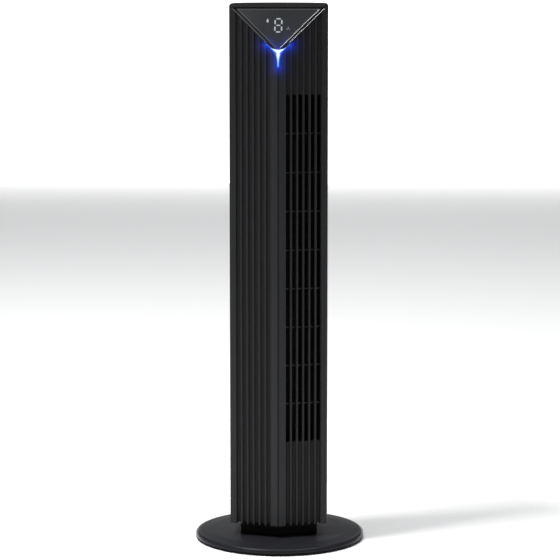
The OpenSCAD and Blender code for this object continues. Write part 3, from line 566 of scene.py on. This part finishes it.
# ---- Light pipe ---------------------------------------------------------------------
# One clear Y-shaped moulding in front of the lamp board. It glows almost white where the
# three arms meet and turns blue towards their ends.
lamp = Shader("lamp_clear", (0.03, 0.06, 0.12), 0.3)
x, _, z = lamp.axes()
height = (z - lamp_foot_z) * (1 / (pipe_high[2] - lamp_foot_z))
by_height = lamp.node("ValToRGB", {"stops": [
    (0, (0.03, 0.16, 0.62)), (0.14, (0.14, 0.42, 0.9)), (0.3, (0.3, 0.6, 0.95)),
    (0.46, (0.72, 0.93, 1)), (0.56, (0.95, 1, 1)), (1, (0.3, 0.62, 1))]}, height)
above_fork = z - (lamp_tip_z + 0.0035)
from_fork = (x * x + above_fork * above_fork) ** 0.5
core_w = 0.0011 + 0.0034 * natural_base ** (from_fork * (-1 / 0.0045))
core = (1.5 - lamp_distance(lamp) / core_w).clamp(0, 1)
outer = ((from_fork - 0.009) * 110).clamp(0, 0.85) * (height * 4 - 2).clamp(0, 1)
shade = lamp.blend(core - outer.clamp(0, 1) * core, (0.01, 0.10, 0.75), by_height)
lamp.set("Emission Color", shade)
lamp.set("Emission Strength", 1.35)
dress("light_pipe", lamp)


# ---- Base ---------------------------------------------------------------------------
# A satin black disc moulding with a rounded rim over a pressed plate; an iron ring inside
# keeps the fan upright. The rubber feet stand on the floor.
base_black = satin_black("base_black", (0.0125, 0.0128, 0.0155), 0.4)
base_black.set("Specular IOR Level", 0.14)
x, y, _ = base_black.axes()
outwards = (x * x + y * y) ** 0.5
polish = ((outwards - 0.1435) * 260).clamp(0, 1)
base_black.set("Roughness", 0.42 + 0.06 * base_black.noise(60, 4) - 0.2 * polish)
dress("base_cover", base_black)
plate_black = satin_black("plate_black", (0.003, 0.003, 0.0035), 0.6)
plate_black.set("Specular IOR Level", 0.1)
dress("base_plate", plate_black)

iron = Shader("cast_iron", (0.07, 0.068, 0.066), 0.62, Metallic=0.75)
grain = iron.noise(700, 4)
iron.set("Base Color", iron.blend(iron.noise(30, 3), (0.05, 0.05, 0.05), (0.1, 0.095, 0.09)))
iron.set("Roughness", 0.5 + 0.25 * grain)
iron.bump(grain, 0.5, 0.0003)
dress("base_weight", iron)

rubber = Shader("rubber", (0.013, 0.013, 0.014), 0.85, Specular_IOR_Level=0.25)
rubber.set("Roughness", 0.78 + 0.14 * rubber.noise(300, 3))
rubber.bump(rubber.noise(1500, 3), 0.4, 0.00015)
for part in ("rubber_feet", "motor_mounts", "drive_hub", "bush_seat", "cord_gland"):
    dress(part, rubber)


# ---- Inner plastic ------------------------------------------------------------------
# The neck, the floor, the bulkheads and the air path are plain matt black mouldings.
# Dust in the plastic's grain makes them paler in patches. The outlet bars are satin.
inner_black = Shader("inner_black", (0.004, 0.004, 0.004), 0.6, Specular_IOR_Level=0.12)
patch = inner_black.noise(22, 3)
inner_black.set("Base Color", inner_black.blend(patch, (0.0030, 0.0030, 0.0033),
                                                (0.0052, 0.0052, 0.0060)))
inner_black.set("Roughness", 0.5 + 0.25 * patch)
inner_black.bump(inner_black.noise(1800, 2), 0.25, 0.00012)
dress("outlet_bars", housing_black)
for part in ("tower_floor", "lower_bulkhead", "upper_bulkhead", "scroll_wall",
             "vortex_tongue", "motor_bracket"):
    dress(part, inner_black)
dress("neck_shroud", plate_black)

wheel_black = Shader("wheel_black", (0.004, 0.004, 0.005), 0.55, Specular_IOR_Level=0.1)
streak = wheel_black.noise(40, 3, (1, 1, 0.2))
wheel_black.set("Roughness", 0.48 + 0.2 * streak)
wheel_black.set("Base Color", wheel_black.blend(streak, (0.0025, 0.0025, 0.003),
                                                (0.0045, 0.0045, 0.005)))
dress("impeller_wheel", wheel_black)

nylon = Shader("nylon", (0.62, 0.60, 0.53), 0.42)
nylon.set("Base Color", nylon.blend(nylon.noise(60, 3), (0.56, 0.54, 0.47), (0.68, 0.66, 0.6)))
nylon.set("Roughness", 0.36 + 0.14 * nylon.noise(500))
for part in ("fixed_gear", "swing_pinion", "thrust_washer"):
    dress(part, nylon)


# ---- Metal --------------------------------------------------------------------------
# Turned and zinc-plated steel for the post, shafts, washers and screws; a pressed and
# painted can for the motors; oil-filled bronze for the two plain bushes.
def metal(name, dark, light, low, high, stretch, bump=0.12):
    """Metal whose colour and polish run in streaks: stretched noise mixes two of each."""
    shader = Shader(name, dark, low, Metallic=1.0)
    lines = shader.noise(220, 4, stretch)
    shader.set("Base Color", shader.blend(lines, dark, light))
    shader.set("Roughness", low + (high - low) * lines)
    shader.bump(lines, bump, 0.00008)
    return shader


turned = metal("turned_steel", (0.42, 0.43, 0.45), (0.6, 0.61, 0.62), 0.2, 0.38, (0.3, 0.3, 6))
plated = metal("zinc_plate", (0.5, 0.51, 0.5), (0.68, 0.68, 0.65), 0.28, 0.45, (1, 1, 1))
can = metal("motor_can", (0.32, 0.33, 0.34), (0.45, 0.46, 0.47), 0.3, 0.5, (1, 1, 0.2))
bronze = metal("oil_bronze", (0.38, 0.23, 0.09), (0.56, 0.36, 0.16), 0.32, 0.5, (2, 2, 2), 0.3)
for shader, parts in (
        (turned, ("swing_post", "motor_shaft", "stub_shaft", "pinion_shaft")),
        (plated, ("retaining_washer", "post_circlip", "base_screws", "post_screws",
                  "housing_screws", "motor_bolts", "swing_motor_screws")),
        (can, ("motor_case", "swing_motor", "motor_rotor")),
        (bronze, ("swing_bush", "upper_bush"))):
    for part in parts:
        dress(part, shader)

copper = Shader("copper_winding", (0.5, 0.2, 0.09), 0.35, Metallic=1.0)
wires = copper.noise(900, 2, (1, 1, 8))
copper.set("Base Color", copper.blend(wires, (0.34, 0.12, 0.05), (0.62, 0.28, 0.13)))
copper.set("Roughness", 0.28 + 0.2 * wires)
copper.bump(wires, 0.6, 0.0003)
dress("motor_stator", copper)


# ---- Electronics --------------------------------------------------------------------
# Green boards with a pale net of tracks under the lacquer, the motor's run capacitor in
# its ivory case, and the dark-red lens of the remote control's receiver.
board_green = Shader("circuit_board", (0.012, 0.09, 0.04), 0.35, Coat_Weight=0.4)
tracks = board_green.node("TexVoronoi", {"feature": "DISTANCE_TO_EDGE"}, output=0,
                          Vector=board_green.place, Scale=190.0)
lines = ((tracks * -30.0) + 1.6).clamp(0, 1)
board_green.set("Base Color", board_green.blend(lines, (0.010, 0.075, 0.035),
                                                (0.03, 0.16, 0.07)))
board_green.set("Roughness", 0.3 + 0.15 * board_green.noise(80))
for part in ("display_board", "lamp_board", "key_board", "main_board"):
    dress(part, board_green)

ivory = Shader("ivory_case", (0.55, 0.54, 0.48), 0.4)
ivory.set("Base Color", ivory.blend(ivory.noise(70, 3), (0.5, 0.49, 0.43), (0.6, 0.59, 0.54)))
ivory.set("Roughness", 0.34 + 0.14 * ivory.noise(300))
dress("run_capacitor", ivory)

lens = Shader("receiver_lens", (0.03, 0.008, 0.012), 0.15, Coat_Weight=0.5)
lens.set("Roughness", 0.1 + 0.12 * lens.noise(200))
dress("remote_receiver", lens)
